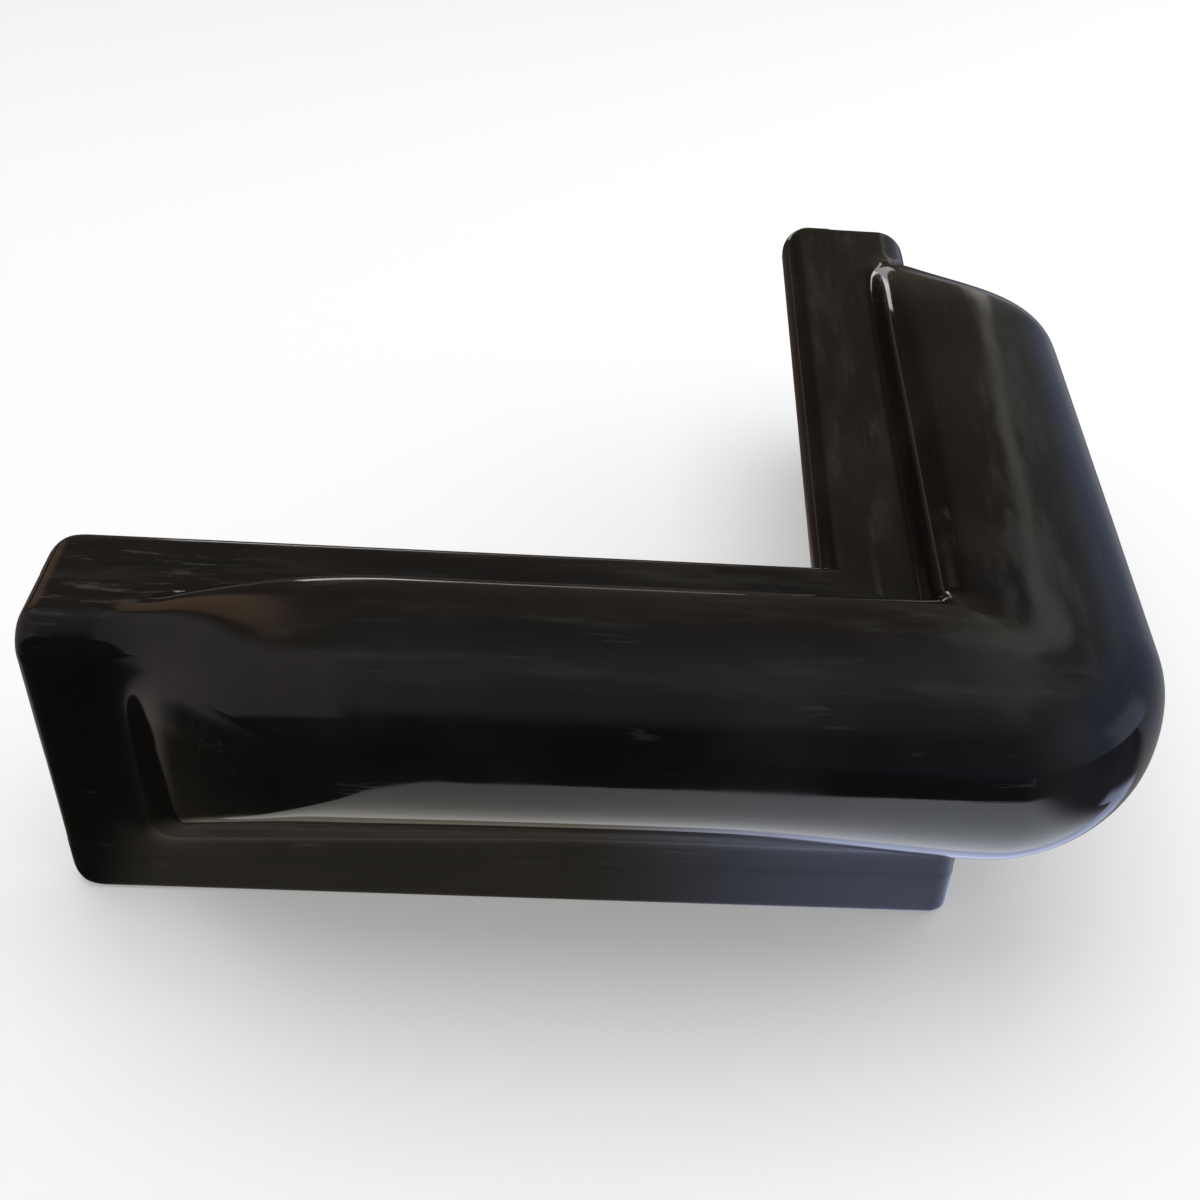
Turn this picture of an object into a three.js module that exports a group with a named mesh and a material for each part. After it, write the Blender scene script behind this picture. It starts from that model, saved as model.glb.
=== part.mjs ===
// Corner bumper for a dock: one hollow moulding that wraps a square dock corner.
// An angle of two flanges lies on the deck and against its side, and a fat bulge runs round the outside.
// Millimetres. The bumper stands on its side flanges, with +Z up and the origin under its middle.
// While it is being shaped, the inner corner of the deck flange's top face is at zero:
// one arm runs along -X, the other along +Y, and "out" is the distance outwards from the inner edge.
import * as THREE from 'three';

// Angle that lies over the dock's edge
const armLength = 445;          // inner edge of each arm, from its end to the inside corner
const flangeWidth = 100;        // deck flange, from its inner edge to the outer face of the side flange
const flangeDrop = 207;         // from the deck flange's top to the side flange's bottom edge
const flangeThickness = 22;     // both flanges, a double moulded wall
const lipRound = 18;            // rounded inner edge of the deck flange
const outerRound = 25;          // edge between the deck flange and the side flange, at the ends
const bottomRound = 5;          // both edges along the bottom of the side flange
const planRound = 19;           // inner corner of each deck flange's end, seen from above
const dropRound = 20;           // bottom corner of each side flange's end, seen from the side
const endRound = 12;            // all round the outside of each end face

// Bulge that meets the boats
const bulgeOut = 119;           // crest of the bulge, outwards from the inner edge
const bulgeDepth = 20;          // widest line of the bulge, below the deck flange's top
const bulgeReach = 72;          // from the crest to the widest line, outwards
const bulgeRise = 58;           // from the widest line to the crest, upwards
const topCrease = 61;           // where the bulge leaves the deck flange, outwards from the inner edge
const lowerCrease = 148;        // where the bulge meets the side flange, below the deck flange's top
const bellyFall = 36;           // how far the front carries on downwards below the widest line
const bellySlope = 58;          // slope of the underside where it meets the side flange, in degrees
const bellyRun = 66;            // how far the underside keeps near that slope
const roundness = 0.77;         // handles of the upper rounds: 0.55 is a circle, more is squarer

// Ends and corner of the bulge
const endMargin = 55;           // bare angle between an arm's end and the start of the bulge
const rampLength = 153;         // length over which the bulge rises to its full size
const rampPower = 2;            // 1 is a straight ramp, more rises faster at first
const rampDroop = 7;            // how much lower the lower crease lies at the foot of the ramp
const cornerRadius = 25;        // crest line, seen from above
const creaseRadius = 12;        // top crease and the side flange's outer corner, seen from above
const cornerSag = 16;           // how much lower the belly hangs at the corner
const sagStart = 60;            // where the sag starts on each arm, short of the inside corner

// Facets
const roundSteps = 5;           // along an edge round
const bulgeSteps = 30;          // round the bulge
const endSteps = 6;             // stations in an arm's rounded end
const rampSteps = 22;           // stations on a ramp
const sagSteps = 5;             // stations on the sagging stretch
const cornerSteps = 6;          // stations from the start of the corner to the mitre

// Mixes two numbers: share 0 gives the first, 1 the second.
function mix(first, second, share) {
  return first + (second - first) * share;
}

// Points of an edge round from angle start to angle end, in degrees.
function edgeRound(centreOut, centreZ, radius, start, end) {
  const points = [];
  for (let step = 0; step <= roundSteps; step += 1) {
    const angle = THREE.MathUtils.degToRad(mix(start, end, step / roundSteps));
    points.push(new THREE.Vector2(centreOut + radius * Math.cos(angle), centreZ + radius * Math.sin(angle)));
  }
  return points;
}

// Outer outline of the bare angle, from the top crease to the lower crease.
function bareOutline() {
  const path = new THREE.Path();
  path.moveTo(topCrease, 0);
  path.lineTo(flangeWidth - outerRound, 0);
  path.absarc(flangeWidth - outerRound, -outerRound, outerRound, Math.PI / 2, 0, true);
  path.lineTo(flangeWidth, -lowerCrease);
  return path.getSpacedPoints(bulgeSteps);
}

// Outer outline of the full bulge, between the same two creases.
function bulgeOutline(sag) {
  const widest = new THREE.Vector2(bulgeOut + bulgeReach, -bulgeDepth);
  const crest = new THREE.Vector2(bulgeOut, bulgeRise - bulgeDepth);
  const innerRun = bulgeOut - topCrease;
  const slope = THREE.MathUtils.degToRad(bellySlope);
  const path = new THREE.Path();
  path.moveTo(topCrease, 0);
  path.bezierCurveTo(
    topCrease, crest.y * roundness,
    crest.x - innerRun * roundness, crest.y,
    crest.x, crest.y,
  );
  path.bezierCurveTo(
    crest.x + bulgeReach * roundness, crest.y,
    widest.x, widest.y + bulgeRise * roundness,
    widest.x, widest.y,
  );
  path.bezierCurveTo(
    widest.x, widest.y - bellyFall - sag,
    flangeWidth + bellyRun * Math.cos(slope), -lowerCrease + bellyRun * Math.sin(slope) - sag,
    flangeWidth, -lowerCrease,
  );
  return path.getSpacedPoints(bulgeSteps);
}

// Outer outline on the ramp, between the bare one at fullness 0 and the full one at 1.
// Below the widest line the underside comes to its full place first, so the front stays almost upright.
function rampOutline(bare, full, fullness) {
  const widest = full.reduce((best, point, index) => (point.x > full[best].x ? index : best), 0);
  const reach = full[widest].distanceTo(bare[widest]);
  return bare.map((point, index) => {
    const move = full[index].clone().sub(point);
    const furthest = move.length();
    const lead = index > widest ? Math.max(furthest, reach) : furthest;
    const below = Math.max(index - widest, 0) / (bare.length - 1 - widest);
    const moved = move.setLength(Math.min(furthest, fullness * lead)).add(point);
    moved.y -= rampDroop * below * (1 - fullness);
    return moved;
  });
}

// Whole section of an arm, once round, with fullness 0 for the bare angle and 1 for the full bulge.
// Each point says how it goes round the corner: the outside has a plan radius, the rest is mitred.
function section(fullness, sag) {
  const innerFace = flangeWidth - flangeThickness;
  const outside = rampOutline(bareOutline(), bulgeOutline(sag), fullness);
  const bottomZ = bottomRound - flangeDrop;
  const loop = [
    new THREE.Vector2(0, -flangeThickness),
    ...edgeRound(lipRound, -lipRound, lipRound, 180, 90),
    ...outside,
    ...edgeRound(flangeWidth - bottomRound, bottomZ, bottomRound, 0, -90),
    ...edgeRound(innerFace + bottomRound, bottomZ, bottomRound, -90, -180),
    new THREE.Vector2(innerFace, -flangeThickness),
  ];
  return loop.map((point) => {
    const rounded = point.x > flangeWidth - bottomRound || outside.includes(point);
    const radius = Math.max(creaseRadius, cornerRadius + point.x - bulgeOut);
    return { out: point.x, z: point.y, radius: rounded ? radius : 0 };
  });
}

// Moves a value near an edge inwards with that edge, and leaves it alone from the fixed line on.
function pullIn(value, edge, fixed, amount) {
  const share = THREE.MathUtils.clamp((value - fixed) / (edge - fixed), 0, 1);
  return value + Math.sign(fixed - edge) * amount * share;
}

// How far a round of this radius has drawn an edge in, at this distance from the arm's end.
function roundInset(radius, distance) {
  const rest = Math.max(radius - distance, 0);
  return radius - Math.sqrt(radius * radius - rest * rest);
}

// Section at a distance from the arm's end, with the end's rounded edges.
function armSection(distance) {
  const along = THREE.MathUtils.clamp((distance - endMargin) / rampLength, 0, 1);
  const fullness = 1 - (1 - along) ** rampPower;
  const innerFace = flangeWidth - flangeThickness;
  return section(fullness, 0).map(({ out, z }) => {
    let pulledOut = pullIn(out, 0, topCrease, roundInset(planRound, distance));
    let pulledZ = pullIn(z, -flangeDrop, -lowerCrease, roundInset(dropRound, distance));
    pulledOut = pullIn(pulledOut, flangeWidth, innerFace, roundInset(endRound, distance));
    pulledZ = pullIn(pulledZ, 0, -flangeThickness, roundInset(endRound, distance));
    return new THREE.Vector2(pulledOut, pulledZ);
  });
}

// Rings of points along the near arm, from its end to the end of the ramp.
function armRings() {
  const stations = [];
  for (let step = 0; step <= endSteps; step += 1) {
    stations.push(planRound * (1 - Math.cos((Math.PI / 2) * (step / endSteps))));
  }
  for (let step = 0; step <= rampSteps; step += 1) {
    stations.push(endMargin + rampLength * (step / rampSteps));
  }
  return stations.map((distance) => armSection(distance)
    .map((point) => new THREE.Vector3(distance - armLength, -point.x, point.y)));
}

// Where a point of the section goes on the near half of the corner: share 0 is its start, 1 the mitre.
// A rounded point follows an arc, and a mitred one runs straight up to the mitre.
function cornerPoint({ out, z, radius }, share) {
  const angle = (Math.PI / 4) * share;
  const centre = out - radius;
  const short = radius > 0 ? 0 : flangeThickness * (1 - share);
  return new THREE.Vector3(centre + radius * Math.sin(angle) - short, -centre - radius * Math.cos(angle), z);
}

// Rings from the start of the sag to the corner, with the belly coming down.
function sagRings() {
  const rings = [];
  for (let step = 0; step < sagSteps; step += 1) {
    const share = step / sagSteps;
    const sag = cornerSag * THREE.MathUtils.smoothstep(share, 0, 1);
    rings.push(section(1, sag).map((point) => {
      const start = new THREE.Vector3(-sagStart, -point.out, point.z);
      return start.lerp(cornerPoint(point, 0), share);
    }));
  }
  return rings;
}

// Rings round the near half of the corner. The last one lies in the mitre.
function cornerRings() {
  const rings = [];
  for (let step = 0; step <= cornerSteps; step += 1) {
    rings.push(section(1, cornerSag).map((point) => cornerPoint(point, step / cornerSteps)));
  }
  return rings;
}

// Closed skin through a row of rings, with a flat face over the first and the last.
function skin(rings, endSection) {
  const count = rings[0].length;
  const faces = [];
  for (let ring = 0; ring < rings.length - 1; ring += 1) {
    for (let index = 0; index < count; index += 1) {
      const next = (index + 1) % count;
      const here = ring * count;
      const there = here + count;
      faces.push(here + index, here + next, there + index);
      faces.push(here + next, there + next, there + index);
    }
  }
  const lastRing = (rings.length - 1) * count;
  for (const [a, b, c] of THREE.ShapeUtils.triangulateShape(endSection, [])) {
    faces.push(a, b, c);
    faces.push(lastRing + a, lastRing + c, lastRing + b);
  }
  const geometry = new THREE.BufferGeometry().setFromPoints(rings.flat());
  geometry.setIndex(faces);
  geometry.computeVertexNormals();
  return geometry;
}

const glossBlack = new THREE.MeshStandardMaterial({ color: 0x0b0b0c, roughness: 0.18, metalness: 0 });

// The two arms are alike: the far half is the near half mirrored in the mitre.
const nearHalf = [...armRings(), ...sagRings(), ...cornerRings()];
const farHalf = nearHalf.slice(0, -1).reverse()
  .map((ring) => ring.map(({ x, y, z }) => new THREE.Vector3(-y, -x, z)));

const bumper = new THREE.Mesh(skin([...nearHalf, ...farHalf], armSection(0)), glossBlack);
bumper.name = 'bumper_body';
const middle = (armLength - bulgeOut - bulgeReach) / 2;
bumper.position.set(middle, -middle, flangeDrop);

const cornerBumper = new THREE.Group();
cornerBumper.add(bumper);

export default cornerBumper;
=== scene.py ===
import math

import bpy
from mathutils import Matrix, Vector
from mathutils.geometry import interpolate_bezier


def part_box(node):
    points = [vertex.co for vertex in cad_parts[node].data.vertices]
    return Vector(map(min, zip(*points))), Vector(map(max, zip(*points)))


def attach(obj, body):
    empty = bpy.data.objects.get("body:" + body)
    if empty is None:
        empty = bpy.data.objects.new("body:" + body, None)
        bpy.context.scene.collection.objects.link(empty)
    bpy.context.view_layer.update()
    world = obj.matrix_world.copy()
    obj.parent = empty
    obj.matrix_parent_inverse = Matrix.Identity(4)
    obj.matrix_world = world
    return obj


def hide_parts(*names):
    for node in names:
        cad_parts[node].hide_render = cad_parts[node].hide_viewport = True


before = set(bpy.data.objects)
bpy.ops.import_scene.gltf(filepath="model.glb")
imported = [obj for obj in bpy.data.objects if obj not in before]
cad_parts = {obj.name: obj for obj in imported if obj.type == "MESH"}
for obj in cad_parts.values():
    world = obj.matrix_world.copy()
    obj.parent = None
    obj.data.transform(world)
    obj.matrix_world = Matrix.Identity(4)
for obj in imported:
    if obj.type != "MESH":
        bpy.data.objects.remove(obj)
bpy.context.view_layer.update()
lowest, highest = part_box("bumper_body")

# sockets of a Mix node for each kind of value: first, second, result
mixSockets = {"FLOAT": (2, 3, 0), "VECTOR": (4, 5, 1), "RGBA": (6, 7, 2)}


# Small helpers for both kinds of tree
def plug(tree, source, socket):
    # a socket is linked, a plain value is typed in
    if isinstance(source, bpy.types.NodeSocket):
        tree.links.new(source, socket)
    else:
        socket.default_value = source


def maths(tree, operation, *values, clamp=False):
    node = tree.nodes.new("ShaderNodeMath")
    node.operation = operation
    node.use_clamp = clamp
    for socket, value in zip(node.inputs, values):
        plug(tree, value, socket)
    return node.outputs[0]


def mix(tree, kind, share, first, second):
    node = tree.nodes.new("ShaderNodeMix")
    node.data_type = kind
    firstSocket, secondSocket, result = mixSockets[kind]
    plug(tree, share, node.inputs[0])
    plug(tree, first, node.inputs[firstSocket])
    plug(tree, second, node.inputs[secondSocket])
    return node.outputs[result]


def splitVector(tree, vector):
    node = tree.nodes.new("ShaderNodeSeparateXYZ")
    plug(tree, vector, node.inputs[0])
    return node.outputs


def joinVector(tree, x, y, z):
    node = tree.nodes.new("ShaderNodeCombineXYZ")
    for socket, value in zip(node.inputs, (x, y, z)):
        plug(tree, value, socket)
    return node.outputs[0]


def smoothStep(tree, value, start, end):
    # rises from 0 to 1, also where the end is below the start
    node = tree.nodes.new("ShaderNodeMapRange")
    node.interpolation_type = "SMOOTHSTEP"
    plug(tree, value, node.inputs["Value"])
    plug(tree, start, node.inputs["From Min"])
    plug(tree, end, node.inputs["From Max"])
    return node.outputs[0]


def band(tree, value, start, end, softness):
    # 1 between start and end, 0 outside, with soft edges
    opened = smoothStep(tree, value, start - softness / 2, start + softness / 2)
    closed = smoothStep(tree, value, end - softness / 2, end + softness / 2)
    return maths(tree, "SUBTRACT", opened, closed)


def product(tree, *factors):
    share = factors[0]
    for factor in factors[1:]:
        share = maths(tree, "MULTIPLY", share, factor)
    return share


# Bumper body
bodySizes = {
    "armLength": 0.445,        # inner edge of each arm
    "flangeWidth": 0.100,
    "flangeDrop": 0.207,
    "flangeThickness": 0.022,
    "lipRound": 0.018,         # inner edge of the deck flange
    "outerRound": 0.025,       # edge between the flanges at the bare ends
    "bottomRound": 0.005,
    "planRound": 0.019,        # end corner of the deck flange, seen from above
    "dropRound": 0.020,        # end corner of the side flange, seen from the side
    "endRound": 0.012,         # all round the end face
    "bulgeOut": 0.119,         # crest, outwards from the inner edge
    "bulgeDepth": 0.020,       # widest line, below the deck flange's top
    "bulgeReach": 0.072,
    "bulgeRise": 0.058,
    "topCrease": 0.061,        # outwards from the inner edge
    "lowerCrease": 0.148,      # below the deck flange's top
    "bellyFall": 0.036,
    "bellySlope": 58,          # degrees
    "bellyRun": 0.066,
    "roundness": 0.77,
    "endMargin": 0.055,        # bare angle before the ramp
    "rampLength": 0.153,
    "rampPower": 2.0,
    "rampDroop": 0.012,        # how much lower the lower crease lies at the foot of the ramp
    "droopLength": 0.250,
    "cornerRadius": 0.025,     # crest line, seen from above
    "creaseRadius": 0.012,
    "cornerSag": 0.016,        # how much lower the belly hangs at the corner
    "sagStart": 0.060,
    "creaseSoftness": 0.75,    # weight of the blur that rounds the moulded creases
    "softFrom": (0.024, 0.034),          # distances from the arm's end: none yet, and all
    "softPasses": 8,
    "footBand": (0.042, 0.080, 0.016),   # foot of the ramp: start, end and fade
    "footPasses": 16,
    "waveHeight": 0.0006,
    "waveScale": 14.0,
    "waveDetail": 1.0,
    "seed": 5.0,
    # steps once round the section, and from an arm's end to the mitre
    "sectionSteps": {"lip": 14, "deck": 14, "outside": 120, "side": 20, "bottom": 6, "inside": 16,
                     "under": 8},
    "ringSteps": {"end": 10, "margin": 16, "ramp": 60, "straight": 22, "sag": 16, "corner": 34},
    "arcSteps": 60,            # before the points are spaced evenly
    "bezierSteps": 200,
    "blurReach": 8,            # points beyond each crease that the blur may touch
}

# the sizes that the tree takes as inputs
sweepInputs = (
    "armLength", "flangeWidth", "flangeDrop", "flangeThickness", "topCrease", "lowerCrease", "planRound",
    "dropRound", "endRound", "endMargin", "rampLength", "rampPower", "rampDroop", "droopLength", "bulgeOut",
    "cornerRadius", "creaseRadius", "creaseSoftness", "waveHeight", "waveScale", "waveDetail", "seed",
)


def arcPoints(centreOut, centreZ, radius, start, end, steps):
    angles = [math.radians(start + (end - start) * step / steps) for step in range(steps + 1)]
    return [Vector((centreOut + radius * math.cos(a), centreZ + radius * math.sin(a))) for a in angles]


def linePoints(start, end, steps):
    # leaves out both ends
    return [Vector(start).lerp(Vector(end), step / steps) for step in range(1, steps)]


def evenPoints(points, count):
    # the same line with equal steps
    lengths = [0.0]
    for here, there in zip(points, points[1:]):
        lengths.append(lengths[-1] + (there - here).length)
    spaced, index = [], 0
    for step in range(count + 1):
        want = lengths[-1] * step / count
        while index < len(points) - 2 and lengths[index + 1] < want:
            index += 1
        share = (want - lengths[index]) / (lengths[index + 1] - lengths[index])
        spaced.append(points[index].lerp(points[index + 1], share))
    return spaced


def bareOutline(sizes, count):
    edge = sizes["flangeWidth"]
    rounding = sizes["outerRound"]
    points = [Vector((sizes["topCrease"], 0))]
    points += arcPoints(edge - rounding, -rounding, rounding, 90, 0, sizes["arcSteps"])
    points.append(Vector((edge, -sizes["lowerCrease"])))
    return evenPoints(points, count)


def bulgeOutline(sizes, sag, count):
    crest = Vector((sizes["bulgeOut"], sizes["bulgeRise"] - sizes["bulgeDepth"]))
    widest = Vector((sizes["bulgeOut"] + sizes["bulgeReach"], -sizes["bulgeDepth"]))
    slope = math.radians(sizes["bellySlope"])
    innerRun = sizes["bulgeOut"] - sizes["topCrease"]
    foot = Vector((sizes["flangeWidth"], -sizes["lowerCrease"]))
    fold = Vector((sizes["topCrease"], 0))
    beziers = [
        (fold, Vector((fold.x, crest.y * sizes["roundness"])),
         Vector((crest.x - innerRun * sizes["roundness"], crest.y)), crest),
        (crest, Vector((crest.x + sizes["bulgeReach"] * sizes["roundness"], crest.y)),
         Vector((widest.x, widest.y + sizes["bulgeRise"] * sizes["roundness"])), widest),
        (widest, Vector((widest.x, widest.y - sizes["bellyFall"] - sag)),
         foot + Vector((math.cos(slope), math.sin(slope))) * sizes["bellyRun"] - Vector((0, sag)), foot),
    ]
    points = []
    for knots in beziers:
        curve = interpolate_bezier(*[knot.to_3d() for knot in knots], sizes["bezierSteps"])
        points += [point.to_2d() for point in curve]
    return evenPoints(points, count)


def sectionLoops(sizes):
    # three loops with matching points: bare angle, full bulge, full bulge with the sag
    steps = sizes["sectionSteps"]
    width, thickness = sizes["flangeWidth"], sizes["flangeThickness"]
    lip, bottom = sizes["lipRound"], sizes["bottomRound"]
    inner = width - thickness
    bottomZ = bottom - sizes["flangeDrop"]
    before = arcPoints(lip, -lip, lip, 180, 90, steps["lip"])
    before += linePoints((lip, 0), (sizes["topCrease"], 0), steps["deck"])
    after = arcPoints(width - bottom, bottomZ, bottom, 0, -90, steps["bottom"])
    after += arcPoints(inner + bottom, bottomZ, bottom, -90, -180, steps["bottom"])
    after += linePoints((inner, bottomZ), (inner, -thickness), steps["inside"])
    after.append(Vector((inner, -thickness)))
    after += linePoints((inner, -thickness), (0, -thickness), steps["under"])
    after.append(Vector((0, -thickness)))
    middles = []
    for outline in (bareOutline(sizes, steps["outside"]), bulgeOutline(sizes, 0, steps["outside"]),
                    bulgeOutline(sizes, sizes["cornerSag"], steps["outside"])):
        middles.append(outline + linePoints(outline[-1], (width, bottomZ), steps["side"]))
    outsideStart = len(before)
    outsideEnd = outsideStart + steps["outside"]
    loops = [before + middle + after for middle in middles]

    # below the widest line the underside comes to its full place first, so the front stays almost upright
    leastMove = 1e-6           # keeps the division sound where a point doesn't move
    moves = [(full - bare).length for bare, full in zip(loops[0], loops[1])]
    widest = max(range(len(moves)), key=lambda index: loops[1][index].x)
    blurReach = sizes["blurReach"]
    flags = []
    for index, (point, move) in enumerate(zip(loops[0], moves)):
        rounded = outsideStart <= index <= outsideEnd or point.x > width - bottom
        soft = outsideStart - blurReach <= index <= outsideEnd + blurReach
        lead = max(1.0, moves[widest] / max(move, leastMove)) if index > widest else 1.0
        reachDown = (index - widest) / (outsideEnd - widest)
        reachUp = (outsideEnd + steps["side"] - index) / steps["side"]
        foot = max(0.0, min(reachDown, reachUp, 1.0))
        flags.append((float(rounded), float(soft), lead, foot))
    return loops, flags


def ringStations(sizes):
    # (distance from the arm's end, approach to the corner, turn round the corner)
    steps = sizes["ringSteps"]
    planRound = sizes["planRound"]
    rampStart = sizes["endMargin"]
    rampEnd = rampStart + sizes["rampLength"]
    sagStart = sizes["armLength"] - sizes["sagStart"]
    stations = []
    for step in range(steps["end"]):
        stations.append((planRound * (1 - math.cos(math.pi / 2 * step / steps["end"])), 0, 0))
    for start, end, count in ((planRound, rampStart, steps["margin"]), (rampStart, rampEnd, steps["ramp"]),
                              (rampEnd, sagStart, steps["straight"])):
        stations += [(start + (end - start) * step / count, 0, 0) for step in range(count)]
    stations += [(sagStart, step / steps["sag"], 0) for step in range(steps["sag"])]
    stations += [(sagStart, 1, step / steps["corner"]) for step in range(steps["corner"] + 1)]
    return stations


def addAttribute(mesh, name, kind, field, values):
    attribute = mesh.attributes.new(name, kind, "POINT")
    attribute.data.foreach_set(field, values)


def bodyGrid(sizes):
    # rings of points in a flat grid: the tree puts each where it belongs
    loops, flags = sectionLoops(sizes)
    half = ringStations(sizes)
    rings = [(*station, 0.0) for station in half] + [(*station, 1.0) for station in half[-2::-1]]
    count = len(flags)
    spacing = 0.01             # any will do
    points = [(ring * spacing, index * spacing, 0) for ring in range(len(rings)) for index in range(count)]
    faces = []
    for ring in range(len(rings) - 1):
        for index in range(count):
            after = (index + 1) % count
            here, there = ring * count, (ring + 1) * count
            faces.append((here + index, here + after, there + after, there + index))
    faces.append(tuple(range(count))[::-1])
    faces.append(tuple(range((len(rings) - 1) * count, len(rings) * count)))
    mesh = bpy.data.meshes.new("bumperGrid")
    mesh.from_pydata(points, [], faces)
    for name, values in zip(("distance", "approach", "turn", "farSide"), zip(*rings)):
        addAttribute(mesh, name, "FLOAT", "value", [value for value in values for _ in range(count)])
    for name, values in zip(("rounded", "soft", "lead", "foot"), zip(*flags)):
        addAttribute(mesh, name, "FLOAT", "value", list(values) * len(rings))
    for name, loop in zip(("bareSection", "fullSection", "cornerSection"), loops):
        parts = [part for point in loop for part in (point.x, 0, point.y)]
        addAttribute(mesh, name, "FLOAT_VECTOR", "vector", parts * len(rings))
    return mesh


def attributeSocket(tree, name, kind="FLOAT"):
    node = tree.nodes.new("GeometryNodeInputNamedAttribute")
    node.data_type = kind
    node.inputs["Name"].default_value = name
    return node.outputs["Attribute"]


def roundInset(tree, radius, distance):
    # how far a round of this radius has drawn an edge in, at this distance from the arm's end
    rest = maths(tree, "MAXIMUM", maths(tree, "SUBTRACT", radius, distance), 0.0)
    radiusSquare = maths(tree, "MULTIPLY", radius, radius)
    squares = maths(tree, "SUBTRACT", radiusSquare, maths(tree, "MULTIPLY", rest, rest))
    return maths(tree, "SUBTRACT", radius, maths(tree, "SQRT", maths(tree, "MAXIMUM", squares, 0.0)))


def pullIn(tree, value, edge, fixed, amount):
    # moves a value near an edge inwards with that edge, and leaves it alone from the fixed line on
    reach = maths(tree, "SUBTRACT", edge, fixed)
    share = maths(tree, "DIVIDE", maths(tree, "SUBTRACT", value, fixed), reach, clamp=True)
    inward = maths(tree, "MULTIPLY", maths(tree, "SIGN", maths(tree, "MULTIPLY", reach, -1.0)), amount)
    return maths(tree, "MULTIPLY_ADD", inward, share, value)


def setPosition(tree, geometry, place, socket="Position"):
    node = tree.nodes.new("GeometryNodeSetPosition")
    plug(tree, geometry, node.inputs["Geometry"])
    plug(tree, place, node.inputs[socket])
    return node.outputs[0]


def blurred(tree, geometry, passes, weight):
    node = tree.nodes.new("GeometryNodeBlurAttribute")
    node.data_type = "FLOAT_VECTOR"
    plug(tree, tree.nodes.new("GeometryNodeInputPosition").outputs[0], node.inputs["Value"])
    plug(tree, passes, node.inputs["Iterations"])
    plug(tree, weight, node.inputs["Weight"])
    return setPosition(tree, geometry, node.outputs["Value"])


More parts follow.
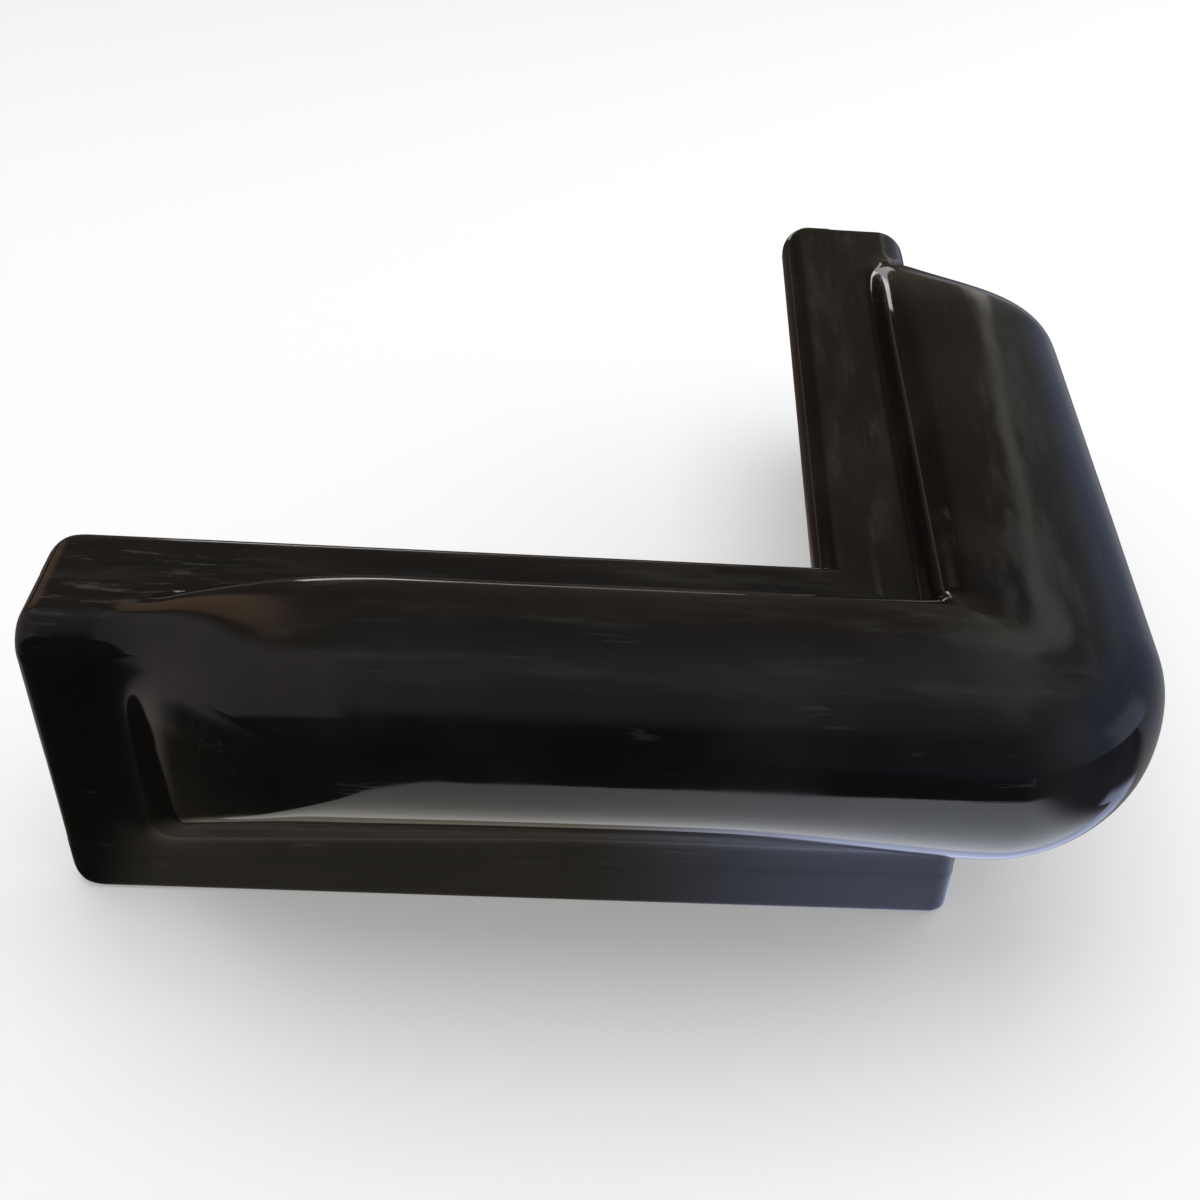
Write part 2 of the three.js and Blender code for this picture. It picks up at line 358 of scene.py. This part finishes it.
def bodyTree(sizes):
    tree = bpy.data.node_groups.new("bumperSweep", "GeometryNodeTree")
    tree.interface.new_socket("Geometry", in_out="INPUT", socket_type="NodeSocketGeometry")
    for name in sweepInputs:
        tree.interface.new_socket(name, in_out="INPUT", socket_type="NodeSocketFloat")
    tree.interface.new_socket("innerCorner", in_out="INPUT", socket_type="NodeSocketVector")
    tree.interface.new_socket("material", in_out="INPUT", socket_type="NodeSocketMaterial")
    tree.interface.new_socket("Geometry", in_out="OUTPUT", socket_type="NodeSocketGeometry")
    size = tree.nodes.new("NodeGroupInput").outputs
    distance = attributeSocket(tree, "distance")
    approach = attributeSocket(tree, "approach")
    rounded = attributeSocket(tree, "rounded")
    soft = attributeSocket(tree, "soft")

    # section: bare angle at the end, then the bulge, then the sagging belly
    inward = maths(tree, "SUBTRACT", distance, size["endMargin"])
    along = maths(tree, "DIVIDE", inward, size["rampLength"], clamp=True)
    short = maths(tree, "POWER", maths(tree, "SUBTRACT", 1.0, along), size["rampPower"])
    fullness = maths(tree, "SUBTRACT", 1.0, short)
    sagging = smoothStep(tree, approach, 0.0, 1.0)
    full = mix(tree, "VECTOR", sagging, attributeSocket(tree, "fullSection", "FLOAT_VECTOR"),
               attributeSocket(tree, "cornerSection", "FLOAT_VECTOR"))
    advance = maths(tree, "MULTIPLY", fullness, attributeSocket(tree, "lead"), clamp=True)
    outline = mix(tree, "VECTOR", advance, attributeSocket(tree, "bareSection", "FLOAT_VECTOR"), full)
    out, _, height = splitVector(tree, outline)
    fading = maths(tree, "SUBTRACT", 1.0, maths(tree, "DIVIDE", inward, size["droopLength"], clamp=True))
    droop = product(tree, attributeSocket(tree, "foot"), fading, size["rampDroop"])
    height = maths(tree, "SUBTRACT", height, droop)

    # rounded end of the arm
    innerFace = maths(tree, "SUBTRACT", size["flangeWidth"], size["flangeThickness"])
    bottom = maths(tree, "MULTIPLY", size["flangeDrop"], -1.0)
    creaseHeight = maths(tree, "MULTIPLY", size["lowerCrease"], -1.0)
    underside = maths(tree, "MULTIPLY", size["flangeThickness"], -1.0)
    endInset = roundInset(tree, size["endRound"], distance)
    out = pullIn(tree, out, 0.0, size["topCrease"], roundInset(tree, size["planRound"], distance))
    height = pullIn(tree, height, bottom, creaseHeight, roundInset(tree, size["dropRound"], distance))
    out = pullIn(tree, out, size["flangeWidth"], innerFace, endInset)
    height = pullIn(tree, height, 0.0, underside, endInset)

    # plan: straight along the arm, then round the corner up to the mitre
    turn = attributeSocket(tree, "turn")
    bend = maths(tree, "MULTIPLY", turn, math.pi / 4)
    wide = maths(tree, "ADD", size["cornerRadius"], maths(tree, "SUBTRACT", out, size["bulgeOut"]))
    radius = maths(tree, "MULTIPLY", rounded, maths(tree, "MAXIMUM", size["creaseRadius"], wide))
    centre = maths(tree, "SUBTRACT", out, radius)
    squareGap = maths(tree, "MULTIPLY", maths(tree, "SUBTRACT", 1.0, rounded), size["flangeThickness"])
    gap = maths(tree, "MULTIPLY", squareGap, maths(tree, "SUBTRACT", 1.0, turn))
    start = maths(tree, "SUBTRACT", centre, gap)
    sideways = maths(tree, "MULTIPLY_ADD", radius, maths(tree, "SINE", bend), start)
    outwards = maths(tree, "MULTIPLY_ADD", radius, maths(tree, "COSINE", bend), centre)
    cornerPlace = joinVector(tree, sideways, maths(tree, "MULTIPLY", outwards, -1.0), height)
    armPlace = joinVector(tree, maths(tree, "SUBTRACT", distance, size["armLength"]),
                          maths(tree, "MULTIPLY", out, -1.0), height)
    nearPlace = mix(tree, "VECTOR", approach, armPlace, cornerPlace)
    x, y, z = splitVector(tree, nearPlace)
    farPlace = joinVector(tree, maths(tree, "MULTIPLY", y, -1.0), maths(tree, "MULTIPLY", x, -1.0), z)
    shift = tree.nodes.new("ShaderNodeVectorMath")
    plug(tree, mix(tree, "VECTOR", attributeSocket(tree, "farSide"), nearPlace, farPlace), shift.inputs[0])
    plug(tree, size["innerCorner"], shift.inputs[1])
    swept = setPosition(tree, size["Geometry"], shift.outputs[0])

    # moulded creases are soft, and the foot of the ramp is softer still
    creaseWeight = product(tree, soft, size["creaseSoftness"], smoothStep(tree, distance, *sizes["softFrom"]))
    softened = blurred(tree, swept, sizes["softPasses"], creaseWeight)
    footWeight = product(tree, soft, band(tree, distance, *sizes["footBand"]), size["creaseSoftness"])
    eased = blurred(tree, softened, sizes["footPasses"], footWeight)

    # slight waviness of the skin, always inwards
    noise = tree.nodes.new("ShaderNodeTexNoise")
    noise.noise_dimensions = "4D"
    plug(tree, size["waveDetail"], noise.inputs["Detail"])
    plug(tree, size["seed"], noise.inputs["W"])
    plug(tree, size["waveScale"], noise.inputs["Scale"])
    depth = maths(tree, "MULTIPLY", maths(tree, "MULTIPLY", noise.outputs[0], size["waveHeight"]), -1.0)
    push = tree.nodes.new("ShaderNodeVectorMath")
    push.operation = "SCALE"
    plug(tree, tree.nodes.new("GeometryNodeInputNormal").outputs[0], push.inputs[0])
    plug(tree, maths(tree, "MULTIPLY", depth, soft), push.inputs["Scale"])
    waved = setPosition(tree, eased, push.outputs[0], "Offset")

    smooth = tree.nodes.new("GeometryNodeSetShadeSmooth")
    plug(tree, waved, smooth.inputs["Geometry"])
    realized = tree.nodes.new("GeometryNodeRealizeInstances")
    plug(tree, smooth.outputs[0], realized.inputs[0])
    painted = tree.nodes.new("GeometryNodeSetMaterial")
    plug(tree, realized.outputs[0], painted.inputs["Geometry"])
    plug(tree, size["material"], painted.inputs["Material"])
    plug(tree, painted.outputs[0], tree.nodes.new("NodeGroupOutput").inputs[0])
    return tree


def makeBody(sizes, material):
    source = bpy.data.objects.new("bumperSource", bodyGrid(sizes))
    bpy.context.scene.collection.objects.link(source)
    tree = bodyTree(sizes)
    sweep = source.modifiers.new("sweep", "NODES")
    sweep.node_group = tree
    arm = sizes["armLength"]
    values = {name: sizes[name] for name in sweepInputs}
    values["material"] = material
    values["innerCorner"] = (lowest[0] + arm, highest[1] - arm, lowest[2] + sizes["flangeDrop"])
    for item in tree.interface.items_tree:
        if item.in_out == "INPUT" and item.name in values:
            sweep[item.identifier] = values[item.name]
    depsgraph = bpy.context.evaluated_depsgraph_get()
    mesh = bpy.data.meshes.new_from_object(source.evaluated_get(depsgraph))
    bpy.data.objects.remove(source)
    mesh.name = "bumperBody"
    body = bpy.data.objects.new("bumperBody", mesh)
    bpy.context.scene.collection.objects.link(body)
    return body


# Gloss black skin
skinLook = {
    "colour": (0.0028, 0.0027, 0.0030, 1),
    "worn": (0.014, 0.012, 0.011, 1),        # where the gloss is rubbed
    "dust": (0.060, 0.056, 0.050, 1),        # in streaks on what faces up
    "roughness": 0.06,
    "rubbedRoughness": 0.17,
    "dustRoughness": 0.46,
    "refraction": 1.5,
    "dustAmount": 0.5,
    "thinDust": 0.22,                        # between the streaks
    "scratchAmount": 0.5,
    "tintShare": 0.5,                        # how far rubbing, dust and scratches change the colour
    "swell": 0.34,                           # millimetres, slow waviness of the moulding
    "ripple": 0.045,                         # millimetres, shorter waves
    "grain": 0.004,                          # millimetres, fine skin of the vinyl
    "scratchHeight": -0.02,                  # millimetres
    "scuffPlace": (-0.262, -0.190, 0.207),   # middle of the scuffs on the near arm's end
    "scuffReach": (0.095, 0.045),            # distances from it: none yet, and all
    "scuffSeed": 3.0,
    "mitreBlend": 0.004,                     # on both sides of the mitre
    "driftReach": 0.16,                      # on both sides of the mitre
    "seedDrift": 0.3,                        # from the near arm to the far one
    "streakSqueeze": 7.0,                    # across the arm
    "hairSqueeze": 22.0,
    "rippleSqueeze": 1.6,
    # scale, detail and roughness of each noise
    "patchNoise": (9.0, 3.0, 0.5),
    "streakNoise": (9.0, 4.0, 0.62),
    "scuffNoise": (20.0, 5.0, 0.7),
    "hairNoise": (6.0, 1.0, 0.5),
    "breakNoise": (26.0, 2.0, 0.5),
    "swellNoise": (11.0, 0.0, 0.5),
    "rippleNoise": (42.0, 1.0, 0.5),
    "grainNoise": (420.0, 1.0, 0.5),
    # where each mask starts, and where it is full
    "patchEdges": (0.46, 0.70),
    "streakEdges": (0.46, 0.72),
    "upwardEdges": (0.92, 0.99),
    "scuffEdges": (0.50, 0.62),
    "hairEdges": (0.010, 0.002),
    "breakEdges": (0.52, 0.66),
}


def skinNoise(tree, place, seed, shape):
    node = tree.nodes.new("ShaderNodeTexNoise")
    node.noise_dimensions = "4D"
    scale, detail, roughness = shape
    plug(tree, place, node.inputs["Vector"])
    plug(tree, seed, node.inputs["W"])
    plug(tree, scale, node.inputs["Scale"])
    plug(tree, detail, node.inputs["Detail"])
    plug(tree, roughness, node.inputs["Roughness"])
    return node.outputs[0]


def makeSkin(look):
    material = bpy.data.materials.new("glossBlackSkin")
    material.use_nodes = True
    tree = material.node_tree
    shader = tree.nodes["Principled BSDF"]

    # place along an arm, outwards and upwards, the same for both arms
    # the seed drifts from one arm to the other
    place = tree.nodes.new("ShaderNodeTexCoord").outputs["Object"]
    x, y, z = splitVector(tree, place)
    beyond = maths(tree, "ADD", x, y)
    far = smoothStep(tree, beyond, -look["mitreBlend"], look["mitreBlend"])
    drift = smoothStep(tree, beyond, -look["driftReach"], look["driftReach"])
    seed = maths(tree, "MULTIPLY", drift, look["seedDrift"])
    along = mix(tree, "FLOAT", far, x, maths(tree, "MULTIPLY", y, -1.0))
    out = mix(tree, "FLOAT", far, maths(tree, "MULTIPLY", y, -1.0), x)

    def squeezed(amount):
        return joinVector(tree, along, *[maths(tree, "MULTIPLY", part, amount) for part in (out, z)])

    lengthways = squeezed(look["streakSqueeze"])
    facing = splitVector(tree, tree.nodes.new("ShaderNodeNewGeometry").outputs["Normal"])[2]

    # rubbed patches, streaks of dust on top, scuffs on the near arm's end
    patches = smoothStep(tree, skinNoise(tree, place, seed, look["patchNoise"]), *look["patchEdges"])
    streaks = smoothStep(tree, skinNoise(tree, lengthways, seed, look["streakNoise"]), *look["streakEdges"])
    upward = smoothStep(tree, facing, *look["upwardEdges"])
    dust = product(tree, upward, mix(tree, "FLOAT", streaks, look["thinDust"], 1.0))
    gap = tree.nodes.new("ShaderNodeVectorMath")
    gap.operation = "DISTANCE"
    plug(tree, place, gap.inputs[0])
    plug(tree, look["scuffPlace"], gap.inputs[1])
    nearScuff = smoothStep(tree, gap.outputs["Value"], *look["scuffReach"])
    raggedness = skinNoise(tree, lengthways, look["scuffSeed"], look["scuffNoise"])
    scuff = product(tree, nearScuff, smoothStep(tree, raggedness, *look["scuffEdges"]), upward)
    dust = maths(tree, "MAXIMUM", maths(tree, "MULTIPLY", dust, look["dustAmount"]), scuff)

    # hairline scratches, mostly lengthways, along the middle value of a noise, in broken stretches
    noiseMiddle = 0.5
    hair = skinNoise(tree, squeezed(look["hairSqueeze"]), seed, look["hairNoise"])
    line = maths(tree, "ABSOLUTE", maths(tree, "SUBTRACT", hair, noiseMiddle))
    broken = smoothStep(tree, skinNoise(tree, place, seed, look["breakNoise"]), *look["breakEdges"])
    scratch = product(tree, smoothStep(tree, line, *look["hairEdges"]), broken, look["scratchAmount"])

    colour, roughness = look["colour"], look["roughness"]
    for mask, tint, tintRoughness in ((patches, look["worn"], look["rubbedRoughness"]),
                                      (dust, look["dust"], look["dustRoughness"]),
                                      (scratch, look["dust"], look["dustRoughness"])):
        colour = mix(tree, "RGBA", maths(tree, "MULTIPLY", mask, look["tintShare"]), colour, tint)
        roughness = mix(tree, "FLOAT", mask, roughness, tintRoughness)
    plug(tree, colour, shader.inputs["Base Color"])
    plug(tree, roughness, shader.inputs["Roughness"])
    shader.inputs["IOR"].default_value = look["refraction"]

    # the mould's slow waves, shorter ripples, the vinyl's grain and the scratches, added up in millimetres
    millimetre = 0.001
    acrossRipple = joinVector(tree, along, maths(tree, "MULTIPLY", out, look["rippleSqueeze"]), z)
    height = maths(tree, "MULTIPLY", skinNoise(tree, place, seed, look["swellNoise"]), look["swell"])
    for wave, amount in ((skinNoise(tree, acrossRipple, seed, look["rippleNoise"]), look["ripple"]),
                         (skinNoise(tree, place, seed, look["grainNoise"]), look["grain"]),
                         (scratch, look["scratchHeight"])):
        height = maths(tree, "MULTIPLY_ADD", wave, amount, height)
    bump = tree.nodes.new("ShaderNodeBump")
    bump.inputs["Distance"].default_value = millimetre
    plug(tree, height, bump.inputs["Height"])
    plug(tree, bump.outputs[0], shader.inputs["Normal"])
    return material


print("bumper body")
skin = makeSkin(skinLook)
bumperBody = makeBody(bodySizes, skin)
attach(bumperBody, "root")
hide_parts("bumper_body")


# Studio
floorSizes = {
    "left": -6.0, "right": 6.0, "front": -6.0, "back": 6.0,
    "colour": (0.90, 0.90, 0.90, 1),
    "roughness": 0.9,
    "lift": 0.22,              # own light for the camera and reflections, so that the lit floor is near white
}

# painted reflections of walls round the set, as directions from the bumper: x right, y back, z up, from -1 to
# 1
# the axis named slant is y with a share of z added
# each patch has a colour and its limits, laid over the one before: two numbers are where a soft step starts
# and ends, three are a band's start, end and softness
wallReflectionSizes = {
    "radius": 4.0,
    "rows": 24,
    "columns": 48,
    "slant": 0.6,
    "wallReflectionColours": {
        "base": (0.060, 0.056, 0.036, 1),                                       # front left
        "patches": [
            ((0.045, 0.041, 0.062, 1), {"x": (-0.45, -0.15)}),                  # front
            ((0.165, 0.16, 0.195, 1), {"x": (0.0, 0.35)}),                      # front right
            ((0.235, 0.23, 0.20, 1), {"z": (0.62, 0.95)}),                      # top
            ((0.125, 0.102, 0.076, 1), {"y": (0.30, 0.55), "z": (0.85, 0.62)}),   # back
            # back left, and the painted reflection of a brown curtain beside the left wall
            ((0.075, 0.055, 0.042, 1), {"y": (0.42, 0.55), "z": (0.64, 0.55), "x": (-0.05, -0.35)}),
            ((0.44, 0.29, 0.18, 1), {"y": (0.50, 0.76, 0.06), "z": (0.20, 0.62, 0.12), "x": (-0.42, -0.56)}),
            # left wall
            ((0.34, 0.305, 0.29, 1), {"x": (-0.30, -0.48), "y": (0.50, 0.38), "slant": (-0.36, -0.26)}),
            # right wall, its bluish far part and the painted reflection of a window in it
            ((0.21, 0.20, 0.19, 1), {"x": (0.29, 0.33), "y": (-0.97, -0.75)}),
            ((0.29, 0.34, 0.49, 1), {"x": (0.40, 0.65), "y": (-0.92, -0.55)}),
            ((0.62, 0.70, 0.95, 1), {"x": (0.60, 0.85), "y": (-0.35, 0.15, 0.2), "z": (0.55, 0.35)}),
            # painted highlight along the edge of the right wall, and a painted bright gap in the back wall
            ((0.62, 0.59, 0.52, 1), {"x": (0.275, 0.315, 0.012), "y": (-0.6, 0.3)}),
            ((0.62, 0.62, 0.60, 1), {"x": (0.255, 0.37, 0.03), "z": (0.63, 0.70, 0.03), "y": (0.50, 0.64)}),
        ],
    },
}

# painted reflections of the ground in the same way, with places in metres
leftGroundReflection = (0.30, 0.27, 0.255, 1)
frontRightReflection = (0.14, 0.125, 0.17, 1)
groundReflectionSizes = {
    "reach": 4.0,
    "height": 0.001,
    "groundReflectionColours": {
        "base": leftGroundReflection,
        "patches": [
            ((0.09, 0.065, 0.05, 1), {"y": (0.0, 0.3)}),                        # back
            ((0.36, 0.38, 0.46, 1), {"x": (0.38, 0.70)}),                       # right
            ((0.045, 0.040, 0.030, 1), {"y": (-0.16, -0.26)}),                  # front left
            (leftGroundReflection, {"x": (-0.6, -1.4), "y": (-0.9, -0.3)}),               # far left
            ((0.052, 0.046, 0.055, 1), {"x": (-0.30, 0.05), "y": (-0.56, -0.62)}),   # front
            (frontRightReflection, {"x": (0.20, 0.60), "y": (-0.18, -0.36)}),       # front right
            # painted shade beside the near arm's end
            ((0.035, 0.030, 0.022, 1), {"x": (-0.44, -0.25, 0.06), "y": (-0.55, -0.20, 0.06)}),
            # painted light strip along the near arm's foot, brighter to the right
            ({"base": (0.28, 0.25, 0.20, 1), "patches": [((0.85, 0.95, 1.35, 1), {"x": (-0.02, 0.20)})]},
             {"x": (-0.29, 0.50, 0.05), "y": (-0.32, -0.20, 0.03)}),
        ],
    },
    # painted reflection of a pale sheet in front of the bumper
    "sheetReflectionCorners": ((-0.275, -0.27), (-0.12, -0.587), (0.45, -0.587), (0.45, -0.27)),
    "sheetReflectionColours": {
        "base": (1.0, 0.96, 0.90, 1),
        "patches": [((1.5, 1.58, 1.75, 1), {"x": (-0.10, 0.25)}), (frontRightReflection, {"x": (0.33, 0.45)})],
    },
}

# painted highlight: a low white panel far behind, glowing only in reflections, which draws the bright line
# along the near bulge's top
highlightCardSizes = {
    "left": -1.15, "right": 0.30, "back": 3.0, "low": 0.03, "highLeft": 0.36, "highRight": 0.14,
    "highlightCardColours": {"base": (2.6, 2.6, 2.6, 1), "patches": [((1.0, 1.0, 1.0, 1), {"x": (-0.60, -0.38)})]},
}

# name: place, aim, width, depth, radiance, colour
lampSizes = {
    "rightSoftbox": ((1.75, 0.75, 0.95), (0, 0, 0.1), 3.0, 1.7, 0.75, (0.90, 0.93, 1.0)),
    "leftSoftbox": ((-1.9, -0.30, 0.85), (0, 0, 0.1), 2.1, 1.3, 0.45, (1.0, 0.96, 0.93)),
    "overheadLamp": ((0, 0, 2.6), (0, 0, 0), 2.4, 2.4, 1.6, (1, 1, 1)),
}

worldLook = {
    "colour": (1, 1, 1, 1),
    "fill": 0.45,              # light on the object and the floor, of 1 for what the camera sees
}

cameraSizes = {
    "place": (0.01783, -0.88454, 0.78828),
    "turn": (50.309, -4.2828, -1.1895),      # degrees
    "lens": 47.947,
    "sensor": 36,
    "shift": (-0.11131, 0.0100),
}


def backgroundRay(tree):
    # 1 for what the camera, mirrors and glass see
    rays = tree.nodes.new("ShaderNodeLightPath").outputs
    seen = maths(tree, "MAXIMUM", rays["Is Camera Ray"], rays["Is Glossy Ray"])
    return maths(tree, "MAXIMUM", seen, rays["Is Transmission Ray"])


def stageMesh(name, points, faces, material):
    mesh = bpy.data.meshes.new(name)
    mesh.from_pydata(points, [], faces)
    mesh.materials.append(material)
    item = bpy.data.objects.new(name, mesh)
    bpy.context.scene.collection.objects.link(item)
    return item


def makeFloor(sizes):
    material = bpy.data.materials.new("paleFloor")
    material.use_nodes = True
    tree = material.node_tree
    shader = tree.nodes["Principled BSDF"]
    shader.inputs["Base Color"].default_value = sizes["colour"]
    shader.inputs["Roughness"].default_value = sizes["roughness"]
    shader.inputs["Specular IOR Level"].default_value = 0.0
    shader.inputs["Emission Color"].default_value = (1, 1, 1, 1)
    lift = maths(tree, "MULTIPLY", backgroundRay(tree), sizes["lift"])
    plug(tree, lift, shader.inputs["Emission Strength"])
    corners = [(sizes[x], sizes[y], 0) for x, y in
               (("left", "front"), ("right", "front"), ("right", "back"), ("left", "back"))]
    stageMesh("studioFloor", corners, [(0, 1, 2, 3)], material)


def paint(tree, axes, look):
    # a plain colour, or a base with patches over it
    if not isinstance(look, dict):
        return look
    colour = look["base"]
    for patch, limits in look["patches"]:
        masks = [smoothStep(tree, axes[axis], *edges) if len(edges) == 2 else band(tree, axes[axis], *edges)
                 for axis, edges in limits.items()]
        colour = mix(tree, "RGBA", product(tree, *masks), colour, paint(tree, axes, patch))
    return colour


def paintedReflection(name, points, faces, look, radius=None, slant=None):
    # glows in reflections only: these pieces are painted reflections, which draw the sheen on the black skin
    material = bpy.data.materials.new(name)
    material.use_nodes = True
    tree = material.node_tree
    tree.nodes.remove(tree.nodes["Principled BSDF"])
    glow = tree.nodes.new("ShaderNodeEmission")
    place = splitVector(tree, tree.nodes.new("ShaderNodeTexCoord").outputs["Object"])
    x, y, z = [maths(tree, "DIVIDE", part, radius) for part in place] if radius else place
    axes = {"x": x, "y": y, "z": z}
    if slant:
        axes["slant"] = maths(tree, "MULTIPLY_ADD", z, slant, y)
    plug(tree, paint(tree, axes, look), glow.inputs["Color"])
    plug(tree, glow.outputs[0], tree.nodes["Material Output"].inputs["Surface"])
    item = stageMesh(name, points, faces, material)
    item.visible_camera = False
    item.visible_diffuse = False
    item.visible_transmission = False
    item.visible_shadow = False


def makeWallReflections(sizes):
    # painted reflections of walls round the whole set, on a dome that glows only in reflections
    radius, rows, columns = sizes["radius"], sizes["rows"], sizes["columns"]
    points = []
    for row in range(rows + 1):
        rise = math.pi * (row / rows - 1 / 2)
        for column in range(columns):
            way = 2 * math.pi * column / columns
            flat = radius * math.cos(rise)
            points.append((flat * math.cos(way), flat * math.sin(way), radius * math.sin(rise)))
    faces = [(row * columns + column, row * columns + (column + 1) % columns,
              (row + 1) * columns + (column + 1) % columns, (row + 1) * columns + column)
             for row in range(rows) for column in range(columns)]
    paintedReflection("paintedWallReflections", points, faces, sizes["wallReflectionColours"], radius, sizes["slant"])


def makeGroundReflections(sizes):
    # painted reflections of the ground round the set, and of a pale sheet
    reach, height = sizes["reach"], sizes["height"]
    corners = [(x * reach, y * reach, height) for x, y in ((-1, -1), (1, -1), (1, 1), (-1, 1))]
    paintedReflection("paintedGroundReflection", corners, [(0, 1, 2, 3)], sizes["groundReflectionColours"])
    sheetReflectionCorners = [(x, y, 2 * height) for x, y in sizes["sheetReflectionCorners"]]
    paintedReflection("paintedSheetReflection", sheetReflectionCorners, [(0, 1, 2, 3)], sizes["sheetReflectionColours"])


def makeHighlightCard(sizes):
    # painted highlight, glowing only in reflections
    corners = [(sizes[x], sizes["back"], sizes[z]) for x, z in
               (("left", "low"), ("right", "low"), ("right", "highRight"), ("left", "highLeft"))]
    paintedReflection("paintedHighlightCard", corners, [(0, 1, 2, 3)], sizes["highlightCardColours"])


def makeWorld(look):
    world = bpy.data.worlds.new("studioWorld")
    bpy.context.scene.world = world
    world.use_nodes = True
    tree = world.node_tree
    background = tree.nodes["Background"]
    background.inputs["Color"].default_value = look["colour"]
    fill = look["fill"]
    strength = maths(tree, "MULTIPLY_ADD", backgroundRay(tree), 1 - fill, fill)
    plug(tree, strength, background.inputs["Strength"])


def makeLamps(sizes):
    for name, (place, aim, width, depth, radiance, colour) in sizes.items():
        lamp = bpy.data.lights.new(name, "AREA")
        lamp.shape = "RECTANGLE"
        lamp.size = width
        lamp.size_y = depth
        lamp.energy = radiance * math.pi * width * depth
        lamp.color = colour
        item = bpy.data.objects.new(name, lamp)
        item.location = place
        item.rotation_euler = (Vector(aim) - Vector(place)).to_track_quat("-Z", "Y").to_euler()
        item.visible_camera = False
        item.visible_glossy = False
        bpy.context.scene.collection.objects.link(item)


def makeCamera(sizes):
    camera = bpy.data.objects.new("photoCamera", bpy.data.cameras.new("photoCamera"))
    camera.location = sizes["place"]
    camera.rotation_euler = [math.radians(angle) for angle in sizes["turn"]]
    camera.data.lens = sizes["lens"]
    camera.data.sensor_width = sizes["sensor"]
    camera.data.shift_x, camera.data.shift_y = sizes["shift"]
    bpy.context.scene.collection.objects.link(camera)
    bpy.context.scene.camera = camera


print("studio")
makeFloor(floorSizes)
makeWallReflections(wallReflectionSizes)
makeGroundReflections(groundReflectionSizes)
makeHighlightCard(highlightCardSizes)
makeWorld(worldLook)
makeLamps(lampSizes)
makeCamera(cameraSizes)

bpy.context.scene.view_settings.view_transform = "Standard"
